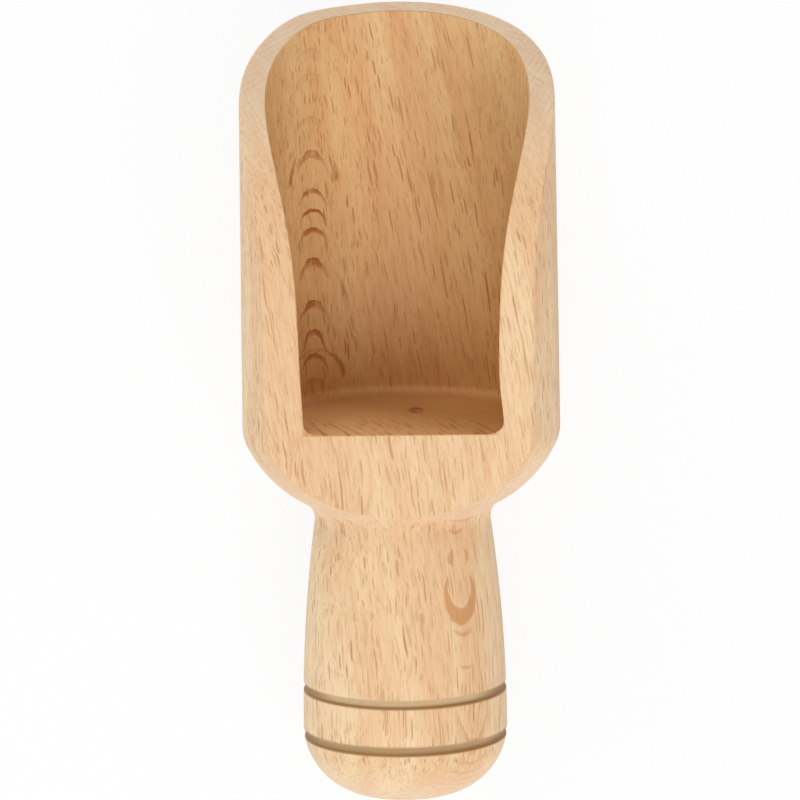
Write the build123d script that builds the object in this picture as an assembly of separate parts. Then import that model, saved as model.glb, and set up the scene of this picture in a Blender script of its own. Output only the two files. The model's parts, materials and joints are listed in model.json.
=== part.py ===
from build123d import *
import os
from math import asin, atan2, copysign, cos, degrees, hypot, radians, sin, sqrt, tan

# A kitchen scoop turned from one piece of beech: a deep round bowl on a short stout handle.
# The front is cut away in one level face, which sweeps up over the sides to the lip.
# Heights run along the lathe axis, from the butt of the handle to the lip of the bowl.
# Forward is the side that the cut opens. All sizes are in millimetres.

# The bowl
overall_length = 111.3      # butt to lip
bowl_dia = 45.0             # at the top of the shoulder, where it is widest
mouth_dia = 44.3            # at the lip, the outside draws in a little
wall = 4.0                  # at the floor of the bowl
lip_wall = 3.65             # at the lip
floor_thickness = 14.7      # solid wood between the neck and the floor of the bowl
floor_fillet = 1.5
shoulder_length = 13.7      # neck to the top of the shoulder
shoulder_radius = 17.8
shoulder_corner = 5.5       # the tighter round between shoulder and wall

# The handle
handle_length = 40.0        # butt to neck
handle_dia = 29.0           # at the swell, just above the butt
neck_dia = 25.0
neck_cove = 3.1             # the hollow where handle and bowl meet
butt_crown = 34.0           # the flatter arc across the end
butt_corner = 10.0          # the round between end and swell

# The two V grooves round the handle, and the wood that friction has burnt brown along them
lower_groove_height = 9.4
upper_groove_height = 16.2
groove_width = 1.0
groove_depth = 0.4
burn_depth = 0.15           # measured square to the flanks of the groove

# The cut that opens the front
face_lift = 1.2             # how far forward of the neck the level face runs out
face_slope = 3.4            # degrees, it nears the axis towards the mouth
sweep_length = 49.3         # the curved part, measured back from the lip
lip_lean = 16.0             # degrees off square, where the sweep leaves the wood at the lip
gentle_share = 0.31         # how far the sweep keeps to the level face, of its own span
steep_share = 0.63          # how far it keeps to the lean of the lip

# Cuts run past the wood by this much
overrun = 2.0

# The half section is drawn from the axis towards the back of the scoop
section_plane = Plane((0, 0, 0), x_dir=(0, 0, -1), z_dir=(1, 0, 0))

bowl_r = bowl_dia / 2
mouth_r = mouth_dia / 2
bore_r = bowl_r - wall
handle_r = handle_dia / 2
neck_r = neck_dia / 2
shoulder_height = handle_length + shoulder_length
floor_height = handle_length + floor_thickness
blank_height = overall_length + overrun
bore_length = blank_height - floor_height

# The butt: an arc across the end, and a corner arc that runs into the swell
corner_r = handle_r - butt_corner
swell_height = butt_crown - sqrt((butt_crown - butt_corner) ** 2 - corner_r ** 2)

# The handle's long arc, from the swell to the neck
taper_length = handle_length - swell_height
taper_drop = handle_r - neck_r
barrel_radius = (taper_length ** 2 + taper_drop ** 2) / (2 * taper_drop)


def toward(start, end, distance):
    """The point at a distance from start, on the way to end."""
    span = hypot(end[0] - start[0], end[1] - start[1])
    return (
        start[0] + (end[0] - start[0]) * distance / span,
        start[1] + (end[1] - start[1]) * distance / span,
    )


def shoulder_centre(cove_centre, corner_centre):
    """Centre of the shoulder's arc, which touches the cove from outside and holds the corner."""
    far = neck_cove + shoulder_radius
    near = shoulder_radius - shoulder_corner
    span = hypot(corner_centre[0] - cove_centre[0], corner_centre[1] - cove_centre[1])
    along = (far ** 2 - near ** 2 + span ** 2) / (2 * span)
    aside = sqrt(far ** 2 - along ** 2)
    foot = toward(cove_centre, corner_centre, along)
    lean = atan2(corner_centre[1] - cove_centre[1], corner_centre[0] - cove_centre[0])
    return foot[0] - aside * sin(lean), foot[1] + aside * cos(lean)


def handle_radius_at(height):
    """Radius of the handle's surface at a height between butt and neck."""
    if height < swell_height:
        return corner_r + sqrt(butt_corner ** 2 - (swell_height - height) ** 2)
    above_centre = sqrt(barrel_radius ** 2 - (height - swell_height) ** 2)
    return handle_r - barrel_radius + copysign(above_centre, taper_drop)


def turned_profile():
    """Half section of the turning, radius across and height up, with the bore in it."""
    crown_centre = (0, butt_crown)
    crown_end = toward(crown_centre, (corner_r, swell_height), butt_crown)
    crown = TangentArc((0, 0), crown_end, tangent=(1, 0))
    butt = TangentArc(crown @ 1, (handle_r, swell_height), tangent=crown % 1)
    barrel = TangentArc(butt @ 1, (neck_r, handle_length), tangent=butt % 1)

    run = barrel % 1
    cove_centre = (neck_r + neck_cove * run.Y, handle_length - neck_cove * run.X)
    corner_centre = (bowl_r - shoulder_corner, shoulder_height)
    centre = shoulder_centre(cove_centre, corner_centre)
    cove = TangentArc(barrel @ 1, toward(cove_centre, centre, neck_cove), tangent=barrel % 1)
    shoulder_end = toward(centre, corner_centre, shoulder_radius)
    shoulder = TangentArc(cove @ 1, shoulder_end, tangent=cove % 1)
    corner = TangentArc(shoulder @ 1, (bowl_r, shoulder_height), tangent=shoulder % 1)

    draw_in = (bowl_r - mouth_r) / (overall_length - shoulder_height)
    rim_r = bowl_r - draw_in * (blank_height - shoulder_height)
    bore_top = toward((bore_r, floor_height), (mouth_r - lip_wall, overall_length), bore_length)
    bore_end = toward((bore_r, floor_height), bore_top, floor_fillet)
    outside = Polyline(corner @ 1, (rim_r, blank_height), bore_top, bore_end)
    inner_round = TangentArc(bore_end, (bore_r - floor_fillet, floor_height), tangent=outside % 1)
    floor = Polyline(inner_round @ 1, (0, floor_height), (0, 0))
    return make_face([crown, butt, barrel, cove, shoulder, corner, outside, inner_round, floor])


def groove_notch(height, skin):
    """Section of the V groove at a height, its two flanks set back by the skin."""
    flank = atan2(groove_width / 2, groove_depth)
    bottom_r = handle_radius_at(height) - groove_depth - skin / sin(flank)
    reach = groove_depth + overrun
    half_width = reach * tan(flank)
    flanks = Polyline((bottom_r + reach, height - half_width), (bottom_r, height),
                      (bottom_r + reach, height + half_width), close=True)
    return make_face(flanks)


def burnt_ring(height):
    """The burnt wood that lines one groove, level with the handle beside it."""
    section = turned_profile() & (groove_notch(height, burn_depth) - groove_notch(height, 0))
    return revolve(section_plane * section, axis=Axis.Y)


def front_cut():
    """All that the cut takes away: forward of the level face, and beyond the sweep."""
    slope = tan(radians(face_slope))
    face_start = (handle_length, neck_r + face_lift)
    sweep_height = overall_length - sweep_length
    sweep_start = (sweep_height, neck_r + face_lift - slope * (sweep_height - handle_length))
    lip = (overall_length, -mouth_r)
    span = hypot(overall_length - sweep_height, sweep_start[1] + mouth_r)
    gentle = (sweep_height + gentle_share * span, sweep_start[1] - slope * gentle_share * span)
    steep = (overall_length - steep_share * span * sin(radians(lip_lean)),
             steep_share * span * cos(radians(lip_lean)) - mouth_r)
    beyond = blank_height + overrun
    outer = max(bowl_r, mouth_r) + overrun
    level = Line(face_start, sweep_start)
    sweep = Bezier(sweep_start, gentle, steep, lip)
    past_lip = (overall_length + overrun * tan(radians(lip_lean)), -mouth_r - overrun)
    around = Polyline(lip, past_lip, (beyond, -outer), (beyond, outer), (handle_length, outer), face_start)
    side_view = Plane.YZ.offset(-outer) * make_face([level, sweep, around])
    return extrude(side_view, amount=2 * outer)


def scoop_body():
    """The whole turning with its bore, its two grooves and its front cut."""
    section = turned_profile()
    for height in (lower_groove_height, upper_groove_height):
        section -= groove_notch(height, burn_depth)
    return revolve(section_plane * section, axis=Axis.Y) - front_cut()


def lie_on_its_back(shape, lowest, middle):
    """Tip the turning onto shoulder and butt, mouth raised, and set it on the ground."""
    rise = bowl_r - shoulder_corner - corner_r
    run = shoulder_height - swell_height
    tip = atan2(rise, run) + asin((shoulder_corner - butt_corner) / hypot(rise, run))
    return Pos(0, -middle, -lowest) * Rot(degrees(tip), 0, 0) * shape


parts = {
    "scoop_body": scoop_body(),
    "burnt_ring_lower": burnt_ring(lower_groove_height),
    "burnt_ring_upper": burnt_ring(upper_groove_height),
}
box = lie_on_its_back(parts["scoop_body"], 0, 0).bounding_box()
os.makedirs("parts", exist_ok=True)
for name, shape in parts.items():
    placed = lie_on_its_back(shape, box.min.Z, box.center().Y)
    export_step(placed, "parts/" + name + ".step")
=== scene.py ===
import json
import math

import bpy
import numpy as np
from mathutils import Matrix, Vector

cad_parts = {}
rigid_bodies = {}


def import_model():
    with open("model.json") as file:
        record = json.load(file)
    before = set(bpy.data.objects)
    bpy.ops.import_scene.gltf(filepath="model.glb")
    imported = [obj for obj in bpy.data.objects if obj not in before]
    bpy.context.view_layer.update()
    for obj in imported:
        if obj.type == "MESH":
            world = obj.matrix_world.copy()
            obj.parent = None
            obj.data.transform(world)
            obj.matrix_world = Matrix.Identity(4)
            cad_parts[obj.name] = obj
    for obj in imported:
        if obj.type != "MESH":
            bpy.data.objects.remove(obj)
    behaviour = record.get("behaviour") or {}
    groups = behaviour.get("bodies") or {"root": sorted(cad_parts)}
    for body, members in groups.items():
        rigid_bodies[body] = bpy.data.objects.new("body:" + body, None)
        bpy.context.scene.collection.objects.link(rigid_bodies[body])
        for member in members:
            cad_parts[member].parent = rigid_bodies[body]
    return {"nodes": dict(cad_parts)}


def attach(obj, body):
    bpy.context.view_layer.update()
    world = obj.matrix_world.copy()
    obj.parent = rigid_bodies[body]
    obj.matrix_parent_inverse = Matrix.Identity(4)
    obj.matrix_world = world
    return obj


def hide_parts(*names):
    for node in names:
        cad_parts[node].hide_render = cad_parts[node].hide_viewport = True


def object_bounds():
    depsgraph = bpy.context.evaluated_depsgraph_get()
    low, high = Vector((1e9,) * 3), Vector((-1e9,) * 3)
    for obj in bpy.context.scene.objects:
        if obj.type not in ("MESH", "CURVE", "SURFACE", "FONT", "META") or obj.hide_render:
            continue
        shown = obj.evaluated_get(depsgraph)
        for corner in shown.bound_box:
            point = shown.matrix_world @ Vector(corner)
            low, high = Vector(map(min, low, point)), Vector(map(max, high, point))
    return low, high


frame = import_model()
cadLow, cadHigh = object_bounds()
print("frame loaded:", sorted(frame["nodes"]))

# Everything is in metres. In the lathe frame x runs across, y up the axis from butt to lip,
# and z forward, to the side that the cut opens.

# the turning's outline, as half sections of radius and height
turning = {
    "length": 0.1113,
    "bowlRadius": 0.0225,
    "mouthRadius": 0.02215,
    "boreRadius": 0.0185,
    "floorHeight": 0.0547,
    "floorFillet": 0.0015,
    "shoulderHeight": 0.0537,
    "shoulderArc": 0.0178,
    "shoulderCorner": 0.0055,
    "neckHeight": 0.040,
    "neckRadius": 0.0125,
    "neckCove": 0.0031,
    "handleRadius": 0.0145,
    "buttArc": 0.034,
    "buttCorner": 0.010,
    "step": 0.00005,
}


def between(start, end, distance):      # the point that far from start, on the way to end
    start, end = np.array(start, float), np.array(end, float)
    return start + (end - start) * distance / np.linalg.norm(end - start)


def meeting(first, firstReach, second, secondReach):    # where two circles cross, on the left
    gap = second - first
    span = np.linalg.norm(gap)
    along = (firstReach ** 2 - secondReach ** 2 + span ** 2) / (2 * span)
    aside = math.sqrt(firstReach ** 2 - along ** 2)
    return first + (gap * along + np.array((-gap[1], gap[0])) * aside) / span


def linePoints(start, end):
    count = max(2, math.ceil(math.dist(start, end) / turning["step"]))
    shares = np.arange(1, count + 1)[:, None] / count
    return np.array(start) + (np.array(end) - np.array(start)) * shares


def arcPoints(centre, start, end):      # the short way round
    first, last = (math.atan2(p[1] - centre[1], p[0] - centre[0]) for p in (start, end))
    turn = (last - first + math.pi) % (2 * math.pi) - math.pi
    radius = math.dist(centre, start)
    count = max(2, math.ceil(abs(turn) * radius / turning["step"]))
    angles = first + turn * np.arange(1, count + 1) / count
    return np.array(centre) + radius * np.column_stack([np.cos(angles), np.sin(angles)])


class Outline:      # a row of points that is read by the distance along it

    def __init__(self, *stretches, crowd=0):
        self.points = np.vstack(stretches)
        steps = np.linalg.norm(np.diff(self.points, axis=0), axis=1)
        self.lengths = np.append(0, np.cumsum(steps))
        self.slopes = np.gradient(self.points, self.lengths, axis=0)
        turn = np.unwrap(np.arctan2(self.slopes[:, 1], self.slopes[:, 0]))
        bend = np.abs(np.diff(turn))
        self.weights = np.append(0, np.cumsum(steps + crowd * bend))
        first = np.argmax(self.points[:, 1] > self.points[0, 1]) - 1
        self.rising = self.points[first:, 1]
        self.risingRadii = self.points[first:, 0]
        self.risingLengths = self.lengths[first:]

    def at(self, lengths):
        return [np.interp(lengths, self.lengths, column) for column in self.points.T]

    def slopeAt(self, lengths):
        slope = [np.interp(lengths, self.lengths, column) for column in self.slopes.T]
        return slope / np.hypot(*slope)

    def radiusAt(self, heights):
        return np.interp(heights, self.rising, self.risingRadii)

    def lengthAt(self, heights):
        return np.interp(heights, self.rising, self.risingLengths)

    def spread(self, starts, ends, shares):     # lengths from starts to ends, closer where it bends
        first = np.interp(starts, self.lengths, self.weights)
        last = np.interp(ends, self.lengths, self.weights)
        rows = first + np.multiply.outer(shares, last - first)
        return np.interp(rows, self.weights, self.lengths)


def buttRound():        # centre of the round at the butt, whose height is also that of the handle's swell
    radius = turning["handleRadius"] - turning["buttCorner"]
    reach = turning["buttArc"] - turning["buttCorner"]
    return radius, turning["buttArc"] - math.sqrt(reach ** 2 - radius ** 2)


def outsideOutline():
    cornerR, swell = buttRound()
    crownCentre = np.array((0, turning["buttArc"]))
    buttCentre = np.array((cornerR, swell))
    buttStart = between(crownCentre, buttCentre, turning["buttArc"])
    barrelStart = (turning["handleRadius"], swell)

    taper = turning["neckHeight"] - swell
    drop = turning["handleRadius"] - turning["neckRadius"]
    barrelR = (taper ** 2 + drop ** 2) / (2 * drop)
    barrelCentre = np.array((turning["handleRadius"] - barrelR, swell))
    neck = (turning["neckRadius"], turning["neckHeight"])

    coveCentre = between(barrelCentre, neck, barrelR + turning["neckCove"])
    cornerCentre = np.array((turning["bowlRadius"] - turning["shoulderCorner"], turning["shoulderHeight"]))
    shoulderCentre = meeting(coveCentre, turning["neckCove"] + turning["shoulderArc"],
                             cornerCentre, turning["shoulderArc"] - turning["shoulderCorner"])
    shoulderStart = between(coveCentre, shoulderCentre, turning["neckCove"])
    cornerStart = between(shoulderCentre, cornerCentre, turning["shoulderArc"])
    wallStart = (turning["bowlRadius"], turning["shoulderHeight"])

    return Outline(
        [(0, 0)],
        arcPoints(crownCentre, (0, 0), buttStart),
        arcPoints(buttCentre, buttStart, barrelStart),
        arcPoints(barrelCentre, barrelStart, neck),
        arcPoints(coveCentre, neck, shoulderStart),
        arcPoints(shoulderCentre, shoulderStart, cornerStart),
        arcPoints(cornerCentre, cornerStart, wallStart),
        linePoints(wallStart, (turning["mouthRadius"], turning["length"])),
        crowd=bodyMesh["crowd"],
    )


def insideOutline():
    floor, bore = turning["floorHeight"], turning["boreRadius"]
    filletStart = (bore - turning["floorFillet"], floor)
    filletEnd = (bore, floor + turning["floorFillet"])
    return Outline(
        [(0, floor)],
        linePoints((0, floor), filletStart),
        arcPoints((filletStart[0], filletEnd[1]), filletStart, filletEnd),
        linePoints(filletEnd, (bore, turning["length"])),
        crowd=bodyMesh["crowd"],
    )


# the cut that opens the front, as a line of height and forward reach
frontCut = {
    "lift": 0.0012,             # the level face runs out this far forward of the neck
    "slope": math.radians(3.4),
    "sweepLength": 0.0493,
    "lipLean": math.radians(16.0),
    "gentleShare": 0.31,
    "steepShare": 0.63,
    "sweepPoints": 1600,
}


def cutOutline():
    fall = math.tan(frontCut["slope"])
    faceStart = (turning["neckHeight"], turning["neckRadius"] + frontCut["lift"])
    sweepHeight = turning["length"] - frontCut["sweepLength"]
    sweepStart = np.array((sweepHeight, faceStart[1] - fall * (sweepHeight - faceStart[0])))
    lip = np.array((turning["length"], -turning["mouthRadius"]))
    span = math.dist(sweepStart, lip)
    lean = np.array((-math.sin(frontCut["lipLean"]), math.cos(frontCut["lipLean"])))
    gentle = sweepStart + frontCut["gentleShare"] * span * np.array((1, -fall))
    steep = lip + frontCut["steepShare"] * span * lean
    share = np.linspace(0, 1, frontCut["sweepPoints"] + 1)[1:, None]
    sweep = ((1 - share) ** 3 * sweepStart + 3 * share * (1 - share) ** 2 * gentle
             + 3 * share ** 2 * (1 - share) * steep + share ** 3 * lip)
    return Outline([faceStart], linePoints(faceStart, sweepStart), sweep)


# the two grooves, V cuts whose flanks are burnt
grooves = {
    "heights": {"burntRingLower": 0.0094, "burntRingUpper": 0.0162},
    "nodes": {"burntRingLower": "burnt_ring_lower", "burntRingUpper": "burnt_ring_upper"},
    "width": 0.0010,
    "depth": 0.0004,
    "burn": 0.00015,            # thickness of the burnt wood, square to the flanks
    "rows": 29,
    "underRows": 8,
    "bottomRound": 0.00008,
    "topRound": 0.00005,
    "bodyRows": (-1.12, -1, -0.66, -0.33, 0, 0.33, 0.66, 1, 1.12),      # in half widths of the groove
    "clear": 0.0002,            # the handle's other rows stay this far from a groove
}

# the body's mesh: rings of points from the butt, up the outside, over the cut and down to the floor
bodyMesh = {
    "columns": (46, 60, 36, 64),    # in each half: across the front, up the side, to the axis, over the back
    "outsideCorner": (0.0172, 0.0490),      # across and height, where the front edge turns up the side
    "insideCorner": (0.0128, 0.0552),
    "sideHeight": 0.082,
    "searchPoints": 40000,      # along the cut, to find where it meets a surface
    "edgePoints": 4000,
    "frontPoints": 400,
    "handleRows": 84,
    "bowlRows": 110,
    "faceRows": 12,
    "insideRows": 130,
    "crowd": 0.006,             # a bend of one radian gets the rows of this much length more
    "easeRows": 5,
    "outsideEase": 0.00024,     # how far the edges of the cut are rounded over, on each side
    "insideEase": 0.00020,
    "easeUneven": 0.00006,
    "easeWaves": ((5, 1, 1.0), (11, 2, 0.6), (23, 0, 0.4)),     # times round, shift and size
    "easeRoll": 40,             # columns by which the inner edge's waves are shifted
    "lipEase": 0.0008,          # more round the lip
    "lipHeights": (0.088, 0.107),
    "sharpAngle": math.radians(38),
}
outside, inside, cut = outsideOutline(), insideOutline(), cutOutline()
flank = math.atan2(grooves["width"] / 2, grooves["depth"])
burnDepth = grooves["burn"] / math.sin(flank)
burnReach = (grooves["depth"] + burnDepth) * math.tan(flank)


def fullRing(half, mirror=1):       # a half ring, front to back, and its mirror image
    return np.concatenate([half, mirror * half[-2:0:-1]])


def cutEdge(section, corner):       # the edge that the cut leaves on a surface: across, and along the cut
    low = max(cut.points[0, 0], section.rising[0])
    lengths = np.linspace(np.interp(low, cut.points[:, 0], cut.lengths), cut.lengths[-1],
                          bodyMesh["searchPoints"])
    heights, forward = cut.at(lengths)
    kept = lengths[np.abs(forward) <= section.radiusAt(heights) + 1e-12]
    turns = (1 - np.cos(np.linspace(0, math.pi, bodyMesh["edgePoints"]))) / 2
    along = kept[0] + (kept[-1] - kept[0]) * turns
    heights, forward = cut.at(along)
    across = np.sqrt(np.maximum(section.radiusAt(heights) ** 2 - forward ** 2, 0))
    across[-1] = 0
    straight = np.linspace(0, across[0], bodyMesh["frontPoints"], endpoint=False)
    across = np.append(straight, across)
    along = np.append(np.full(len(straight), along[0]), along)
    heights, forward = cut.at(along)

    steps = np.hypot(np.diff(across), np.diff(along))
    travel = np.append(0, np.cumsum(steps))
    apart = (across - corner[0]) ** 2 + (heights - corner[1]) ** 2
    marks = [0, travel[np.argmin(apart)], np.interp(bodyMesh["sideHeight"], heights, travel),
             np.interp(0, -forward, travel), travel[-1]]
    columns = np.append(0, np.cumsum(bodyMesh["columns"]))
    places = np.interp(np.arange(columns[-1] + 1), columns, marks)
    across, along = (np.interp(places, travel, values) for values in (across, along))
    return fullRing(across, -1), fullRing(along)


def unit(vectors):
    return vectors / np.linalg.norm(vectors, axis=-1, keepdims=True)


def roundRing(values):      # the change along a closed ring
    return np.roll(values, -1, axis=0) - np.roll(values, 1, axis=0)


def cutPoints(across, along):
    heights, forward = cut.at(along)
    return np.stack([across, heights, forward], axis=-1)


def ringPoints(radii, heights, turns):
    return np.stack([radii * np.sin(turns), heights + 0 * turns, radii * np.cos(turns)], axis=-1)


def turnedPoints(section, lengths, turns):
    return ringPoints(*section.at(lengths), turns)


def roundAngles(points):        # from the front to the right and on round
    return np.mod(np.arctan2(points[:, 0], points[:, 2]) + 1e-6, 2 * math.pi) - 1e-6


def easedEdge(section, across, along, side, ease):
    edge = cutPoints(across, along)
    run = unit(roundRing(edge))
    turns = roundAngles(edge)
    climb = section.slopeAt(section.lengthAt(edge[:, 1]))
    if side < 0:        # on the floor, the front edge is met at its own radius
        atFront = along <= along[0] + 1e-9
        lengths = np.where(atFront, np.hypot(edge[:, 0], edge[:, 2]), section.lengthAt(edge[:, 1]))
        climb = section.slopeAt(lengths)
    outward = side * np.stack([climb[1] * np.sin(turns), -climb[0], climb[1] * np.cos(turns)], axis=-1)
    slope = cut.slopeAt(along)
    cutNormal = np.stack([0 * along, -slope[1], slope[0]], axis=-1)
    down = np.cross(run, outward)
    down *= -np.sign(np.sum(down * cutNormal, axis=1))[:, None]
    flat = unit(np.stack([-roundRing(along), roundRing(across)], axis=-1)) * side
    onCut = np.stack([across, along], axis=-1) + ease[:, None] * flat
    low = edge + ease[:, None] * down
    high = cutPoints(onCut[:, 0], onCut[:, 1])
    rows = []
    for share in np.linspace(0, 1, bodyMesh["easeRows"] + 2):
        rows.append((1 - share) ** 2 * low + 2 * share * (1 - share) * edge + share ** 2 * high)
    return rows, onCut


def meshObject(name, points, faces):
    mesh = bpy.data.meshes.new(name)
    mesh.from_pydata(points, [], faces)
    mesh.validate()
    mesh.shade_smooth()
    piece = bpy.data.objects.new(name, mesh)
    bpy.context.scene.collection.objects.link(piece)
    return piece


def placed(points):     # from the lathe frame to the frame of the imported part, lying on its back
    across, heights, forward = np.moveaxis(points, -1, 0)
    y = heights * math.cos(lying["tip"]) - forward * math.sin(lying["tip"]) + lying["shift"][0]
    z = heights * math.sin(lying["tip"]) + forward * math.cos(lying["tip"]) + lying["shift"][1]
    return np.stack([across, y, z], axis=-1)


def layDown():      # tipped onto shoulder and butt, and set on the ground
    cornerR, swell = buttRound()
    rise = turning["bowlRadius"] - turning["shoulderCorner"] - cornerR
    run = turning["shoulderHeight"] - swell
    tighter = turning["shoulderCorner"] - turning["buttCorner"]
    tip = math.atan2(rise, run) + math.asin(tighter / math.hypot(rise, run))
    radii, heights = outside.points.T
    lowY = (heights * math.cos(tip) - radii * math.sin(tip)).min()
    lowZ = (heights * math.sin(tip) - radii * math.cos(tip)).min()
    return {"tip": tip, "shift": (cadLow.y - lowY, cadLow.z - lowZ)}


lying = layDown()


def handleLengths():        # rows of the handle, with some to follow the grooves
    rows = outside.spread(0, outside.lengthAt(turning["neckHeight"]),
                          np.linspace(0, 1, bodyMesh["handleRows"] + 1))[1:-1]
    for height in grooves["heights"].values():
        edges = outside.lengthAt(height + np.array((-1, 1)) * (burnReach + grooves["clear"]))
        rows = rows[(rows < edges[0]) | (rows > edges[1])]
        near = height + burnReach * np.array(grooves["bodyRows"])
        rows = np.append(rows, outside.lengthAt(near))
    return np.sort(rows)


def grooveRadii(heights, centre, skin):
    bottom = outside.radiusAt(centre) - grooves["depth"] - skin
    return bottom + np.abs(heights - centre) / math.tan(flank)


# unevenness of hand work, each a place that is shifted a little, across, up and forward
handWork = {
    "openingCorner": {
        "middle": (0.0137, 0.0553, 0.0124),
        "reach": (0.0028, 0.0056, 0.0050),
        "shift": (0.0011, 0, 0),
    },
    "leftOfLip": {
        "middle": (-0.0145, 0.1085, -0.0160),
        "reach": (0.0065, 0.0060, 0.0065),
        "shift": (0, 0.0006, 0),
    },
}


def handWorked(points):
    for place in handWork.values():
        away = (points - place["middle"]) / place["reach"]
        points = points + np.exp(-np.sum(away ** 2, axis=-1))[..., None] * place["shift"]
    return points


# a small torn place in the floor of the bowl
pit = {
    "across": 0.0020,
    "forward": -0.0056,
    "halfWidth": 0.0006,
    "halfLength": 0.0012,
    "depth": 0.0004,
    "slant": 0.3,
    "gridRadius": 0.0095,       # the floor's rings of points within this have the steps below
    "coarseStep": 0.00035,
    "fineStep": 0.00014,
    "fineReach": 0.0018,
    "innermost": 0.6,           # the last ring, in coarse steps from the middle
    "stain": (0.0011, 0.0006, 0.0022),      # reach of the brown round it, across, up and forward
}


def pitRadii():         # rings of points on the floor, close together where they pass the pit
    middle = math.hypot(pit["across"], pit["forward"])
    radius = pit["gridRadius"]
    radii = []
    while radius > pit["coarseStep"] * pit["innermost"]:
        radii.append(radius)
        fine = abs(radius - middle) < pit["fineReach"]
        radius -= pit["fineStep"] if fine else pit["coarseStep"]
    return radii


def pitDepth(across, forward):
    a = (across - pit["across"]) / pit["halfWidth"]
    b = (forward - pit["forward"] - pit["slant"] * (across - pit["across"])) / pit["halfLength"]
    return pit["depth"] * np.exp(-a * a - b * b)


def edgeEases(share, outerAlong):       # how far the edges of the cut are rounded, a little unevenly
    uneven = sum(size * np.sin(times * share + shift) for times, shift, size in bodyMesh["easeWaves"])
    nearLip = np.interp(cut.at(outerAlong)[0], bodyMesh["lipHeights"], (0, 1))
    outer = bodyMesh["outsideEase"] + bodyMesh["easeUneven"] * uneven / 2
    outer = outer + bodyMesh["lipEase"] * nearLip ** 2
    inner = bodyMesh["insideEase"] + bodyMesh["easeUneven"] * np.roll(uneven, bodyMesh["easeRoll"]) / 2
    return outer, inner


def handleRing(length, turns):      # sunk where a groove is cut
    points = turnedPoints(outside, np.full(len(turns), length), turns)
    for height in grooves["heights"].values():
        notch = grooveRadii(points[0, 1], height, burnDepth)
        radius = np.hypot(points[0, 0], points[0, 2])
        if notch < radius:
            points[:, (0, 2)] *= notch / radius
    return points


def scoopBody():
    outerAcross, outerAlong = cutEdge(outside, bodyMesh["outsideCorner"])
    innerAcross, innerAlong = cutEdge(inside, bodyMesh["insideCorner"])
    count = len(outerAcross)
    share = 2 * math.pi * np.arange(count) / count
    outerEase, innerEase = edgeEases(share, outerAlong)
    outerRows, outerCut = easedEdge(outside, outerAcross, outerAlong, 1, outerEase)
    innerRows, innerCut = easedEdge(inside, innerAcross, innerAlong, -1, innerEase)

    rim = outerRows[0]
    rimTurns = roundAngles(rim)
    rimLengths = outside.lengthAt(rim[:, 1])
    handleTurns = (rimTurns + share) / 2
    rows = [handleRing(length, handleTurns) for length in handleLengths()]
    neck = np.full(count, outside.lengthAt(turning["neckHeight"]))
    shares = np.linspace(0, 1, bodyMesh["bowlRows"] + 1)[:-1]
    for part, lengths in zip(shares, outside.spread(neck, rimLengths, shares)):
        rows.append(turnedPoints(outside, lengths, handleTurns + (rimTurns - handleTurns) * part))
    rows += outerRows
    for part in np.linspace(0, 1, bodyMesh["faceRows"] + 1)[1:-1]:
        across, along = (outerCut + (innerCut - outerCut) * part).T
        rows.append(cutPoints(across, along))
    rows += innerRows[::-1]
    edge = innerRows[0]
    edgeTurns = roundAngles(edge)
    onFloor = edge[:, 1] <= turning["floorHeight"] + 1e-9
    edgeLengths = np.where(onFloor, np.hypot(edge[:, 0], edge[:, 2]), inside.lengthAt(edge[:, 1]))
    floorTurns = (edgeTurns + share) / 2
    shares = np.linspace(0, 1, bodyMesh["insideRows"] + 1)[1:-1]
    floorLengths = np.full(count, pit["gridRadius"])
    for part, lengths in zip(shares, inside.spread(edgeLengths, floorLengths, shares)):
        rows.append(turnedPoints(inside, lengths, edgeTurns + (floorTurns - edgeTurns) * part))
    for radius in pitRadii():
        points = turnedPoints(inside, np.full(count, radius), floorTurns)
        points[:, 1] -= pitDepth(points[:, 0], points[:, 2])
        rows.append(points)

    points = handWorked(np.vstack([[(0, 0, 0)], *rows, [(0, turning["floorHeight"], 0)]]))
    piece = meshObject("scoopBody", placed(points), bodyFaces(len(rows), count))
    piece.data.set_sharp_from_angle(angle=bodyMesh["sharpAngle"])
    return piece, handleTurns


def quads(low, high, count):        # between two rings, given by the numbers of their first points
    around = np.arange(count)
    ahead = (around + 1) % count
    return np.column_stack([low + around, low + ahead, high + ahead, high + around]).tolist()


def bodyFaces(rowCount, count):     # quads between the rings, and a fan at each pole
    around = np.arange(count)
    ahead = (around + 1) % count
    top = 1 + (rowCount - 1) * count
    faces = np.column_stack([0 * around, 1 + ahead, 1 + around]).tolist()
    for low in range(1, top, count):
        faces += quads(low, low + count, count)
    return faces + np.column_stack([top + around, top + ahead, 0 * around + top + count]).tolist()


body, handleTurns = scoopBody()
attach(body, "root")
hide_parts("scoop_body")
print("body:", len(body.data.vertices), "points")


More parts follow.
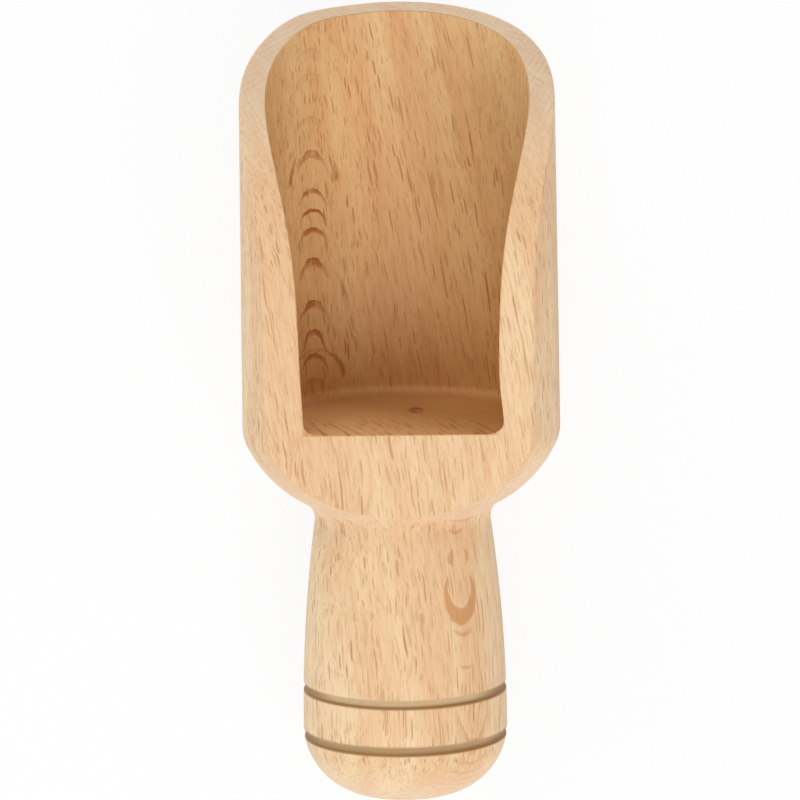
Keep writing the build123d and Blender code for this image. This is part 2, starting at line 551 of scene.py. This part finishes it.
def burntRing(name, centre):
    offsets = np.linspace(-burnReach, burnReach, grooves["rows"])
    heights = centre + offsets
    surface = outside.radiusAt(heights)
    bottom = outside.radiusAt(centre) - grooves["depth"]
    hollow = np.sqrt(offsets ** 2 + grooves["bottomRound"] ** 2) - grooves["bottomRound"]
    cutAway = bottom + hollow / math.tan(flank)
    soft = grooves["topRound"]
    radii = (surface + cutAway - np.sqrt((surface - cutAway) ** 2 + soft ** 2)) / 2
    fade = np.clip((burnReach - np.abs(offsets)) / (2 * soft), 0, 1)
    radii = surface + (radii - surface) * fade
    radii = np.minimum(radii, surface)
    under = centre + np.linspace(burnReach, -burnReach, grooves["underRows"] * 2 + 1)[1:-1]
    loopHeights = np.append(heights, under)
    loopRadii = np.append(radii, grooveRadii(under, centre, burnDepth))
    count = len(handleTurns)
    points, faces = [], []
    for row, (radius, height) in enumerate(zip(loopRadii, loopHeights)):
        points.append(ringPoints(radius, height, handleTurns))
        faces += quads(row * count, (row + 1) % len(loopRadii) * count, count)
    piece = meshObject(name, placed(np.vstack(points)), faces)
    piece.data.set_sharp_from_angle(angle=bodyMesh["sharpAngle"])
    return piece


rings = []
for name, height in grooves["heights"].items():
    ring = burntRing(name, height)
    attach(ring, "root")
    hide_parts(grooves["nodes"][name])
    rings.append(ring)
print("burnt rings:", len(rings))

# the camera, above the scoop and a little beyond square to its axis
camera = {
    "lean": math.radians(10.8),     # towards the mouth
    "aside": math.radians(1.06),    # towards the right
    "roll": math.radians(0.8055),
    "originHeight": -0.000454,
    "up": 0.05667,
    "right": -0.00014,
    "distance": 1.15,
    "lens": 362.25,
    "sensor": 36,
    "clipEnd": 10,
}


def makeCamera():
    axis = Vector((0, math.cos(lying["tip"]), math.sin(lying["tip"])))
    front = Vector((0, -math.sin(lying["tip"]), math.cos(lying["tip"])))
    across = Vector((1, 0, 0))
    facing = math.cos(camera["aside"]) * front + math.sin(camera["aside"]) * across
    back = math.sin(camera["lean"]) * axis + math.cos(camera["lean"]) * facing
    up = math.cos(camera["lean"]) * axis - math.sin(camera["lean"]) * facing
    right = math.cos(camera["aside"]) * across - math.sin(camera["aside"]) * front
    origin = Vector(placed(np.array((0, camera["originHeight"], 0))))
    target = origin + camera["up"] * up + camera["right"] * right
    rolledUp = math.cos(camera["roll"]) * up + math.sin(camera["roll"]) * right
    rolledRight = math.cos(camera["roll"]) * right - math.sin(camera["roll"]) * up

    data = bpy.data.cameras.new("camera")
    data.sensor_width = camera["sensor"]
    data.lens = camera["lens"]
    data.clip_end = camera["clipEnd"]
    obj = bpy.data.objects.new("camera", data)
    bpy.context.scene.collection.objects.link(obj)
    turn = Matrix((rolledRight, rolledUp, back)).transposed()
    obj.matrix_world = Matrix.Translation(target + camera["distance"] * back) @ turn.to_4x4()
    bpy.context.scene.camera = obj


makeCamera()
print("camera set")


class Nodes:        # adds nodes to a tree, linking or setting their inputs

    def __init__(self, tree):
        self.tree = tree
        self.tree.nodes.clear()

    def add(self, kind, inputs=None, output=0, **settings):
        node = self.tree.nodes.new("ShaderNode" + kind)
        for key, value in settings.items():
            setattr(node, key, value)
        for key, value in (inputs or {}).items():
            self.feed(node.inputs[key], value)
        return node.outputs[output] if node.outputs else node

    def feed(self, socket, value):
        if isinstance(value, bpy.types.NodeSocket):
            self.tree.links.new(value, socket)
        else:
            socket.default_value = value

    def math(self, operation, *values):
        return self.add("Math", dict(enumerate(values)), operation=operation)

    def product(self, first, *others):
        for value in others:
            first = self.math("MULTIPLY", first, value)
        return first

    def mix(self, factor, first, second, blend="MIX"):
        return self.add("Mix", {0: factor, 6: first, 7: second}, output=2, data_type="RGBA", blend_type=blend)

    def ramp(self, value, low, high, toLow=0.0, toHigh=1.0, smooth=True):
        inputs = {"Value": value, "From Min": low, "From Max": high, "To Min": toLow, "To Max": toHigh}
        return self.add("MapRange", inputs, interpolation_type="SMOOTHSTEP" if smooth else "LINEAR")

    def vector(self, x, y, z):
        return self.add("CombineXYZ", {0: x, 1: y, 2: z})

    def stretched(self, place, scales):
        return self.vector(*(self.math("MULTIPLY", value, scale) for value, scale in zip(place, scales)))

    def split(self, vector):
        return self.add("SeparateXYZ", {0: vector}).node.outputs

    def noise(self, vector, scale=1.0, detail=2.0, rough=0.5, colour=False):
        inputs = {"Vector": vector, "Scale": scale, "Detail": detail, "Roughness": rough}
        return self.add("TexNoise", inputs, output=1 if colour else 0)


def paint(red, green, blue):        # a colour given as it looks on the screen, from 0 to 255
    def linear(value):
        value /= 255
        return value / 12.92 if value <= 0.04045 else ((value + 0.055) / 1.055) ** 2.4
    return (linear(red), linear(green), linear(blue), 1)


# how the grain runs through the scoop; a noise's three numbers say how often it changes along each axis
grain = {
    "azimuth": math.radians(43),    # the rings face this way, from the front towards the right
    "pithDistance": 0.055,
    "levelHeight": 0.028,           # where the pith is at that distance
    "lean": 0.08,                   # the pith draws away from the axis above that height,
    "leanGain": 0.9,                # more and more
    "sideLean": 0.06,               # the streaks lean aside above it,
    "sideLeanGain": 0.28,           # more and more
    "wave": (60.0, 55.0, 60.0),     # how often the grain wanders, across, up and forward,
    "waveShift": 0.0010,            # and how far
    "ripple": (240.0, 170.0, 240.0),    # smaller bends, likewise
    "rippleShift": 0.0009,
    "rough": (500.0, 900.0, 420.0),     # fine noise, outward, around and up
    "broken": (300.0, 700.0, 260.0),    # noise that interrupts lines
    "endways": (0.35, 0.90),        # how far a surface faces along the grain, to be all end grain
}


class Grain:        # every point's place in the wood, as sockets

    def __init__(self, n):
        place = n.tree.nodes.new("ShaderNodeTexCoord")
        tip = (lying["tip"], 0, 0)
        butt = Vector(placed(np.zeros(3)))
        places = {"Vector": place.outputs["Object"], "Location": butt, "Rotation": tip}
        self.lathe = n.add("Mapping", places, vector_type="TEXTURE")
        self.x, self.h, self.f = n.split(self.lathe)
        facing = n.add("Mapping", {"Vector": place.outputs["Normal"], "Rotation": tip}, vector_type="TEXTURE")
        self.facingX, self.facingH, self.facingF = n.split(facing)
        self.endways = n.ramp(n.math("ABSOLUTE", self.facingH), *grain["endways"])

        # u runs away from the pith and v around it, and both follow the lean of the grain
        side, ahead = math.sin(grain["azimuth"]), math.cos(grain["azimuth"])
        rise = n.math("SUBTRACT", self.h, grain["levelHeight"])
        drift = n.product(rise, n.math("MULTIPLY_ADD", rise, grain["leanGain"], grain["lean"]))
        outward = n.math("MULTIPLY_ADD", self.x, side, n.product(self.f, ahead))
        self.u = n.math("ADD", outward, drift)
        self.v = n.math("SUBTRACT", n.product(self.x, ahead), n.product(self.f, side))
        self.fromPith = n.math("ADD", self.u, grain["pithDistance"])

        # unevenness, from coarse to fine
        wave = n.noise(n.stretched((self.x, self.h, self.f), grain["wave"]), colour=True)
        wave = n.add("VectorMath", {0: wave, 1: (0.5, 0.5, 0.5)}, operation="SUBTRACT")
        waveU, waveV, self.waveH = n.split(wave)
        ripple = n.noise(n.stretched((self.x, self.h, self.f), grain["ripple"]))
        self.ripple = n.math("SUBTRACT", ripple, 0.5)
        self.rough = n.noise(n.stretched((self.u, self.v, self.h), grain["rough"]))
        self.broken = n.noise(n.stretched((self.u, self.v, self.h), grain["broken"]))

        # the same for the streaks, which wander more
        self.strokeU = n.math("MULTIPLY_ADD", waveU, grain["waveShift"], self.u)
        sideways = n.math("MULTIPLY_ADD", rise, grain["sideLeanGain"], grain["sideLean"])
        strokeV = n.math("MULTIPLY_ADD", sideways, n.math("MAXIMUM", rise, 0.0), self.v)
        strokeV = n.math("MULTIPLY_ADD", waveV, grain["waveShift"], strokeV)
        self.strokeV = n.math("MULTIPLY_ADD", self.ripple, grain["rippleShift"], strokeV)

        radius = n.math("MULTIPLY_ADD", self.x, self.x, n.product(self.f, self.f))
        radius = n.math("POWER", radius, 0.5)
        inBore = n.ramp(radius, *boredWood["radius"], 1.0, 0.0)
        self.bored = n.product(inBore, n.ramp(self.h, *boredWood["height"]))


# plain wood between the marks
plainWood = {
    "pale": paint(243, 212, 168),
    "warm": paint(235, 191, 146),
    "bands": (130.0, 190.0, 9.0),       # pale and warm bands, outward, around and up
    "bandRange": (0.34, 0.66),
    "fibre": (1500.0, 3200.0, 210.0),
    "stroke": paint(200, 138, 90),
    "strokeRange": (0.44, 0.80, 0.0, 0.55),
    "paleStroke": paint(250, 218, 180),
    "paleRange": (0.20, 0.50, 0.40, 0.0),
    "roughness": 0.5,
    "fibreRoughness": 0.12,
    "fibreRelief": 0.35,
    "relief": {"Strength": 0.6, "Distance": 0.00012},
}


def plainColour(n, wood, fibre):
    bands = n.stretched((wood.strokeU, wood.strokeV, wood.h), plainWood["bands"])
    bands = n.noise(bands, detail=3.0, rough=0.6)
    colour = n.mix(n.ramp(bands, *plainWood["bandRange"]), plainWood["pale"], plainWood["warm"])
    colour = n.mix(n.ramp(fibre, *plainWood["strokeRange"]), colour, plainWood["stroke"])
    return n.mix(n.ramp(fibre, *plainWood["paleRange"]), colour, plainWood["paleStroke"])


# growth rings: a brown line at the end of each, plain only where they lie flat to the surface
growth = {
    "band": (0.74, 0.844),          # where in a ring its brown band begins, and where it is full
    "bandColour": paint(176, 96, 38),
    "edge": (0.909, 1.0),
    "edgeColour": paint(164, 88, 38),
    "arcTips": (0.1022, 0.0955, 0.0909, 0.0853, 0.0824, 0.0799, 0.0754, 0.0690, 0.0651, 0.0617, 0.0585),
    "width": 0.000749,              # of the rings on both sides of those with arcs
    "innerCount": 20,
    "outerCount": 60,
    "wander": 0.0003,
    "rough": 0.00012,
    "flat": (0.08, 0.27, 1.0, 0.05),        # how far a ring is off flat, and how much it shows
    "unlike": (0.65, 1.0),                  # from ring to ring
    "outermost": (26.2, 28.2, 1.0, 0.25),   # the rings further out are fainter,
    "innermost": (19.2, 19.8, 0.25, 1.0),   # so are those nearer the pith,
    "nearLip": (0.088, 0.096, 1.0, 0.60),   # and all near the lip
    "endwaysLoss": -0.7,
    "gaps": (0.36, 0.52, 0.5, 1.0),
    "flute": {                      # of the rings behind the bore
        "depth": 0.0009,
        "sides": (0.0012, 0.0062),
        "behind": (-0.004, -0.012),
        "changes": 260.0,
        "narrowing": (0.35, 0.65, 1.35, 0.55),
    },
}


def tipDistance(height):        # from the pith to an arc's tip, on the back of the bore
    rise = height - grain["levelHeight"]
    return grain["pithDistance"] - turning["boreRadius"] + rise * (grain["lean"] + grain["leanGain"] * rise)


def ringPhase(n, distance):     # counts the rings, so that they cut the bore at the arcs' tips
    tips = sorted(tipDistance(height) for height in growth["arcTips"])
    low = tips[0] - growth["innerCount"] * growth["width"]
    high = tips[-1] + growth["outerCount"] * growth["width"]
    last = growth["innerCount"] + len(tips) - 1 + growth["outerCount"]
    share = n.ramp(distance, low, high, smooth=False)
    node = n.tree.nodes.new("ShaderNodeFloatCurve")
    curve = node.mapping.curves[0]
    for count, tip in enumerate(tips, growth["innerCount"]):
        curve.points.new((tip - low) / (high - low), count / last)
    for point in curve.points:
        point.handle_type = "VECTOR"
    node.mapping.update()
    n.feed(node.inputs["Value"], share)
    return n.product(node.outputs[0], float(last))


def fluting(n, wood):       # the rings dip on both sides of the arcs, nearer at some heights than at others
    flute = growth["flute"]
    changes = n.noise(n.vector(0.0, n.product(wood.h, flute["changes"]), 0.0), detail=1.0)
    aside = n.product(n.math("ABSOLUTE", wood.v), n.ramp(changes, *flute["narrowing"]))
    behind = n.ramp(wood.u, *flute["behind"], 0.0, flute["depth"])
    return n.product(n.ramp(aside, *flute["sides"]), behind)


def growthRings(n, wood, colour):
    distance = n.math("MULTIPLY_ADD", wood.fromPith, wood.fromPith, n.product(wood.v, wood.v))
    distance = n.math("POWER", distance, 0.5)
    distance = n.math("MULTIPLY_ADD", wood.waveH, growth["wander"], distance)
    distance = n.math("ADD", distance, fluting(n, wood))
    distance = n.math("MULTIPLY_ADD", n.math("SUBTRACT", wood.rough, 0.5), growth["rough"], distance)
    phase = ringPhase(n, distance)
    inRing = n.math("FRACT", phase)
    ringNumber = n.math("FLOOR", phase)
    strength = n.add("TexWhiteNoise", {"W": ringNumber}, noise_dimensions="1D")

    side, ahead = math.sin(grain["azimuth"]), math.cos(grain["azimuth"])
    tangentX = n.math("SUBTRACT", n.product(wood.fromPith, ahead), n.product(wood.v, side))
    tangentF = n.math("ADD", n.product(wood.fromPith, side), n.product(wood.v, ahead))
    across = n.product(wood.facingX, tangentX)
    across = n.math("SUBTRACT", across, n.product(wood.facingF, tangentF))
    across = n.math("ABSOLUTE", n.math("DIVIDE", across, distance))
    seen = n.product(
        n.ramp(across, *growth["flat"]),
        n.ramp(strength, 0.0, 1.0, *growth["unlike"], smooth=False),
        n.ramp(ringNumber, *growth["outermost"]),
        n.ramp(ringNumber, *growth["innermost"]),
        n.ramp(wood.h, *growth["nearLip"]),
        n.math("MULTIPLY_ADD", wood.endways, growth["endwaysLoss"], 1.0),
        n.ramp(wood.broken, *growth["gaps"]),
    )
    colour = n.mix(n.product(n.ramp(inRing, *growth["band"]), seen), colour, growth["bandColour"])
    colour = n.mix(n.product(n.ramp(inRing, *growth["edge"]), seen), colour, growth["edgeColour"])
    return colour, inRing


# brown marks shaped like a cup, where the surface dips through a ring; around the pith, and height
figures = {
    "cupColour": paint(204, 144, 86),
    "cupSide": (0.004, 0.009),          # only on the handle
    "cups": (
        {"at": (-0.0013, 0.0311), "reach": (0.00265, 0.00400), "hollow": (0.00198, 0.00300),
         "lift": 0.00125, "top": 0.0345, "strength": 0.80},
        {"at": (-0.0011, 0.0366), "reach": (0.00185, 0.00160), "hollow": (0.00115, 0.00260),
         "lift": 0.0, "top": 0.0385, "strength": 0.60},
        {"at": (-0.0010, 0.0408), "reach": (0.00130, 0.00090), "hollow": (0.00160, 0.00110),
         "lift": 0.0007, "top": 0.0412, "strength": 0.60},
        {"at": (-0.0012, 0.0287), "reach": (0.00235, 0.00330), "hollow": (0.00220, 0.00300),
         "lift": 0.0003, "top": 0.0268, "strength": 0.60},
        {"at": (-0.0013, 0.0213), "reach": (0.00115, 0.00070), "hollow": (0.00125, 0.00070),
         "lift": 0.0005, "top": 0.0217, "strength": 0.60},
    ),
    "archSide": (-0.009, -0.004, 1.0, 0.0),     # only in the bore
    "archGaps": (0.36, 0.52, 0.3, 1.0),
    "arches": (                         # round the rings' arcs and upside down, so heights are negative
        {"at": (0.0, -0.0858), "reach": (0.0047, 0.0056), "hollow": (0.0039, 0.0066),
         "lift": 0.0, "top": -0.0858, "strength": 0.80},
        {"at": (0.0, -0.0668), "reach": (0.0060, 0.0078), "hollow": (0.0054, 0.0088),
         "lift": 0.0, "top": -0.0664, "strength": 0.70},
        {"at": (0.0, -0.0576), "reach": (0.0054, 0.0044), "hollow": (0.0047, 0.0043),
         "lift": 0.0, "top": -0.0570, "strength": 0.65},
    ),
    "outerEdge": (0.85, 1.10),          # how soft a mark's outline is, where 1 is on the line,
    "hollowEdge": (0.88, 1.12),         # and that of its hollow
    "topFade": 0.0012,
    "rippled": 0.0007,
    "rough": 0.0008,
}


def hump(n, terms):         # 1 at the middle, falling to 0; each term is a value, its middle and its reach
    total = 0.0
    for value, middle, reach in terms:
        share = n.math("DIVIDE", n.math("SUBTRACT", value, middle), reach)
        total = n.math("MULTIPLY_ADD", share, share, total)
    return n.math("EXPONENT", n.product(total, -1.0))


def cupMark(n, around, up, cup):        # inside the mark's own oval, outside its hollow, and below its top
    line = math.exp(-1)
    outer = [line * part for part in figures["outerEdge"]]
    hollow = [line * part for part in figures["hollowEdge"]]
    raised = (cup["at"][0], cup["at"][1] + cup["lift"])
    return n.product(
        n.ramp(hump(n, zip((around, up), cup["at"], cup["reach"])), *outer),
        n.ramp(hump(n, zip((around, up), raised, cup["hollow"])), *hollow, 1.0, 0.0),
        n.ramp(up, cup["top"] - figures["topFade"], cup["top"], 1.0, 0.0),
    )


def cupMarks(n, wood, colour):
    around = n.math("MULTIPLY_ADD", wood.ripple, figures["rippled"], wood.v)
    up = n.math("MULTIPLY_ADD", n.math("SUBTRACT", wood.rough, 0.5), figures["rough"], wood.h)
    onHandle = n.ramp(wood.u, *figures["cupSide"])
    for cup in figures["cups"]:
        mark = n.product(cupMark(n, around, up, cup), onHandle, cup["strength"])
        colour = n.mix(mark, colour, figures["cupColour"])
    down = n.product(up, -1.0)
    inBore = n.ramp(wood.u, *figures["archSide"])
    gaps = n.ramp(wood.broken, *figures["archGaps"])
    for arch in figures["arches"]:
        mark = n.product(cupMark(n, around, down, arch), inBore, gaps, arch["strength"])
        colour = n.mix(mark, colour, growth["bandColour"])
    return colour


# lens shaped marks along the grain; cell sizes run outward, around and up, and reach is a share of a cell
strokes = {
    "layers": {
        "bold": {"cells": (0.00055, 0.00042, 0.0110), "shift": 0.0,
                 "reach": 0.43, "keep": 0.80, "depth": 0.85},
        "small": {"cells": (0.00042, 0.00032, 0.0055), "shift": 5.2,
                  "reach": 0.40, "keep": 0.80, "depth": 0.60},
        "faint": {"cells": (0.0004, 0.00022, 0.0030), "shift": 9.7,
                  "reach": 0.42, "keep": 0.85, "depth": 0.40},
    },
    "softness": 0.08,
    "endways": (0.20, 0.60, 1.0, 0.1),      # fainter on end grain
}


def strokeLayer(n, wood, cells, shift, reach, keep, depth):
    places = n.vector(n.math("DIVIDE", wood.strokeU, cells[0]), n.math("DIVIDE", wood.strokeV, cells[1]),
                      n.math("MULTIPLY_ADD", wood.h, 1 / cells[2], shift))
    voronoi = n.tree.nodes.new("ShaderNodeTexVoronoi")
    n.feed(voronoi.inputs["Vector"], places)
    voronoi.inputs["Scale"].default_value = 1.0
    split = n.tree.nodes.new("ShaderNodeSeparateColor")
    n.feed(split.inputs[0], voronoi.outputs["Color"])
    size = n.ramp(split.outputs[0], 1 - keep, 1.0, 0.0, reach, smooth=False)
    shape = n.ramp(n.math("SUBTRACT", size, voronoi.outputs["Distance"]), 0.0, strokes["softness"])
    return n.product(shape, n.ramp(split.outputs[1], 0.0, 1.0, 0.5 * depth, depth, smooth=False))


def strokeMarks(n, wood, colour, relief):       # each mark is also a little lower than the wood
    sideways = n.ramp(n.math("ABSOLUTE", wood.facingH), *strokes["endways"])
    for layer in strokes["layers"].values():
        marks = n.product(strokeLayer(n, wood, **layer), sideways)
        colour = n.mix(marks, colour, plainWood["stroke"])
        relief = n.math("SUBTRACT", relief, marks)
    return colour, relief


# end grain, with fine lines of rays and of rings
endWood = {
    "colour": paint(240, 212, 184),
    "share": 0.5,
    "rays": (160.0, 3200.0, 0.0),       # outward and around
    "rayRange": (0.52, 0.72, 0.0, 0.36),
    "patches": 330.0,
    "patchRange": (0.40, 0.60),
    "boredLoss": -0.6,                  # the lines are fainter on the floor of the bowl
    "ringMiddle": 0.85,
    "ringRange": (0.0, 0.20, 0.17, 0.0),
    "ringLoss": -0.8,                   # the rings are fainter where the rays show
}


def endGrain(n, wood, colour, inRing):
    colour = n.mix(n.product(wood.endways, endWood["share"]), colour, endWood["colour"])
    lines = n.product(wood.endways, n.math("MULTIPLY_ADD", wood.bored, endWood["boredLoss"], 1.0))
    patchy = n.noise(wood.lathe, endWood["patches"], detail=3.0, rough=0.6)
    patchy = n.ramp(patchy, *endWood["patchRange"])
    angle = n.product(n.math("ARCTAN2", wood.v, wood.fromPith), grain["pithDistance"])
    rays = n.noise(n.stretched((wood.u, angle, 0.0), endWood["rays"]), rough=0.6)
    rays = n.product(lines, n.ramp(rays, *endWood["rayRange"]), patchy)
    colour = n.mix(rays, colour, plainWood["stroke"])
    apart = n.math("ABSOLUTE", n.math("SUBTRACT", inRing, endWood["ringMiddle"]))
    rings = n.product(lines, n.ramp(apart, *endWood["ringRange"]),
                      n.math("MULTIPLY_ADD", patchy, endWood["ringLoss"], 1.0))
    return n.mix(rings, colour, growth["bandColour"])


# the bore is painted darker than the turned wood, partly its own tone and partly painted shade of the hollow,
# with deeper painted shade low down and to the right; its floor has painted light at the front left, painted
# shade at the back right, and slanting marks
boredWood = {
    "radius": (0.01858, 0.01872),       # where the bored surface ends, outward
    "height": (0.05450, 0.05466),       # and downward
    # painted shade: the whole bore is darkened, partly its own darker tone and partly painted shade of the
    # hollow
    "shade": (0.86, 0.77, 0.59, 1),
    # painted shade, deeper towards the floor and to the right, where the walls shade the hollow
    "lowPaintedShade": (0.91, 0.79, 0.61, 1),      # low down, and more so on the right
    "lowRange": (0.047, 0.075, 1.0, 0.0),
    "lowTilt": -0.45,
    "slant": {"across": 1300.0, "along": -420.0, "stretch": 110.0, "from": (-0.002, 0.007)},
    "slantRange": (0.52, 0.66, 0.0, 0.65),
    "slantMark": paint(176, 112, 70),
    # painted light on the floor's front left and painted shade at its back right, where the right wall shades
    # it
    "floorPaintedLight": (1.24, 1.28, 1.32, 1),     # the floor at its front left,
    "floorPaintedShade": (0.76, 0.66, 0.54, 1),     # and at its back right
    "floorRange": (-0.020, 0.012),
    "floorTilt": -1.1,
}


def boredShades(n, wood, colour):
    slant = boredWood["slant"]
    slanting = n.product(wood.f, slant["along"])
    slanting = n.math("MULTIPLY_ADD", wood.x, slant["across"], slanting)
    marks = n.vector(slanting, n.product(wood.f, slant["stretch"]), 0.0)
    marks = n.ramp(n.noise(marks), *boredWood["slantRange"])
    onFloor = n.product(wood.bored, wood.endways)
    marks = n.product(marks, n.ramp(wood.f, *slant["from"]), onFloor)
    colour = n.mix(marks, colour, boredWood["slantMark"])
    # painted light and shade on the floor of the bowl: lighter at the front left, darker at the back right
    corner = n.ramp(n.math("MULTIPLY_ADD", wood.f, boredWood["floorTilt"], wood.x), *boredWood["floorRange"])
    floorLightAndShade = n.mix(corner, boredWood["floorPaintedLight"], boredWood["floorPaintedShade"])
    colour = n.mix(onFloor, colour, floorLightAndShade, "MULTIPLY")
    # painted shade over the whole bore, partly also the bore's own darker tone
    colour = n.mix(wood.bored, colour, boredWood["shade"], "MULTIPLY")
    # painted shade, deeper low down and to the right
    low = n.ramp(n.math("MULTIPLY_ADD", wood.x, boredWood["lowTilt"], wood.h), *boredWood["lowRange"])
    return n.mix(n.product(wood.bored, low), colour, boredWood["lowPaintedShade"], "MULTIPLY")


# brown wood: torn in the pit, and burnt along the grooves, with painted light on each groove's mouth-side
# flank and painted shade on its butt-side flank
brownWood = {
    "torn": paint(128, 66, 26),
    "tornRough": (0.3, 0.7, 0.7, 1.3),
    "tornRange": (0.10, 0.80, 0.0, 0.85),
    "burnt": paint(158, 112, 62),
    # a lighter burnt colour: painted light on the lit mouth-side flank of each groove
    "burntPaintedLight": paint(211, 183, 142),
    "burntReach": (0.70, 1.15),         # of a groove's half width
    # the share of full brown on the mouth side; less brown there is painted light, and the butt side keeps
    # full brown as painted shade
    "mouthSide": {"burntRingLower": 0.58, "burntRingUpper": 0.12},      # how brown that side of a groove is
    "mouthSideRange": (-0.00034, -0.00016),
    "outwardRange": (0.0085, 0.0140, 0.0, 0.85),        # both sides are brown towards the scoop's outline
}


def tornWood(n, wood, colour):
    middle = (pit["across"], turning["floorHeight"], pit["forward"])
    torn = hump(n, zip((wood.x, wood.h, wood.f), middle, pit["stain"]))
    torn = n.product(torn, n.ramp(wood.rough, *brownWood["tornRough"]))
    return n.mix(n.ramp(torn, *brownWood["tornRange"]), colour, brownWood["torn"])


def burntWood(n, wood, colour):
    start, end = (burnReach * part for part in brownWood["burntReach"])
    outward = n.ramp(n.math("ABSOLUTE", wood.x), *brownWood["outwardRange"])
    for name, height in grooves["heights"].items():
        offset = n.math("SUBTRACT", wood.h, height)
        near = n.ramp(n.math("ABSOLUTE", offset), start, end, 1.0, 0.0)
        # painted light on the mouth-side flank, painted shade on the butt-side flank, over the burnt colour
        brown = n.ramp(offset, *brownWood["mouthSideRange"], 1.0, brownWood["mouthSide"][name])
        brown = n.math("MAXIMUM", brown, outward)
        shade = n.mix(brown, brownWood["burntPaintedLight"], brownWood["burnt"])
        colour = n.mix(near, colour, shade)
    return colour


def beechMaterial(name):
    material = bpy.data.materials.new(name)
    material.use_nodes = True
    n = Nodes(material.node_tree)
    wood = Grain(n)
    fibre = n.stretched((wood.strokeU, wood.strokeV, wood.h), plainWood["fibre"])
    fibre = n.noise(fibre, detail=4.0, rough=0.7)
    colour = plainColour(n, wood, fibre)
    colour, inRing = growthRings(n, wood, colour)
    colour = cupMarks(n, wood, colour)
    relief = n.product(fibre, plainWood["fibreRelief"])
    colour, relief = strokeMarks(n, wood, colour, relief)
    colour = endGrain(n, wood, colour, inRing)
    colour = boredShades(n, wood, colour)
    colour = tornWood(n, wood, colour)
    colour = burntWood(n, wood, colour)
    roughness = n.math("MULTIPLY_ADD", fibre, plainWood["fibreRoughness"], plainWood["roughness"])
    bump = n.add("Bump", {"Height": relief, **plainWood["relief"]})
    surface = n.add("BsdfPrincipled", {"Base Color": colour, "Roughness": roughness, "Normal": bump,
                                       "IOR": 1.45, "Specular IOR Level": 0.5})
    n.add("OutputMaterial", {"Surface": surface})
    return material


body.data.materials.append(beechMaterial("beech"))
burntBeech = beechMaterial("burntBeech")
for ring in rings:
    ring.data.materials.append(burntBeech)
print("wood finished")

# a pale floor and soft light all round
studio = {
    "floorSize": 3.0,
    "floorColour": (0.9, 0.9, 0.9, 1),
    "floorGlow": 0.9,
    "sky": 0.34,
    "lamps": {
        "mainLamp": {"at": (0.20, -0.83, 1.05), "size": 1.1, "power": 12.5, "colour": (1, 1, 1)},
        "upperLamp": {"at": (-0.3, 1.1, 0.8), "size": 0.8, "power": 5.5, "colour": (1, 1, 1)},
        "leftLamp": {"at": (-1.2, 0.0, 0.30), "size": 0.7, "power": 4.2, "colour": (0.80, 0.94, 1.0)},
        "rightLamp": {"at": (1.2, 0.3, 0.8), "size": 0.7, "power": 1.6, "colour": (1, 1, 1)},
    },
}


def makeStudio():
    mesh = bpy.data.meshes.new("floor")
    half = studio["floorSize"] / 2
    corners = [(-half, -half, 0), (half, -half, 0), (half, half, 0), (-half, half, 0)]
    mesh.from_pydata(corners, [], [(0, 1, 2, 3)])
    floor = bpy.data.objects.new("floor", mesh)
    bpy.context.scene.collection.objects.link(floor)
    material = bpy.data.materials.new("floor")
    material.use_nodes = True
    n = Nodes(material.node_tree)
    path = n.tree.nodes.new("ShaderNodeLightPath")
    seen = n.math("MAXIMUM", path.outputs["Is Camera Ray"], path.outputs["Is Glossy Ray"])
    seen = n.math("MAXIMUM", seen, path.outputs["Is Transmission Ray"])
    plain = n.add("BsdfDiffuse", {"Color": studio["floorColour"]})
    glow = n.add("Emission", {"Color": (1, 1, 1, 1), "Strength": 1.0})
    surface = n.add("MixShader", {0: n.product(seen, studio["floorGlow"]), 1: plain, 2: glow})
    n.add("OutputMaterial", {"Surface": surface})
    mesh.materials.append(material)

    world = bpy.data.worlds.new("world")
    bpy.context.scene.world = world
    world.use_nodes = True
    n = Nodes(world.node_tree)
    path = n.tree.nodes.new("ShaderNodeLightPath")
    strength = n.ramp(path.outputs["Is Camera Ray"], 0.0, 1.0, studio["sky"], 1.0, smooth=False)
    sky = n.add("Background", {"Color": (1, 1, 1, 1), "Strength": strength})
    n.add("OutputWorld", {"Surface": sky})

    for name, lamp in studio["lamps"].items():
        light = bpy.data.lights.new(name, "AREA")
        light.energy = lamp["power"]
        light.size = lamp["size"]
        light.color = lamp["colour"]
        obj = bpy.data.objects.new(name, light)
        bpy.context.scene.collection.objects.link(obj)
        at = Vector(lamp["at"])
        obj.matrix_world = Matrix.Translation(at) @ at.to_track_quat("Z", "Y").to_matrix().to_4x4()


makeStudio()
bpy.context.scene.view_settings.view_transform = "Standard"
print("studio set")
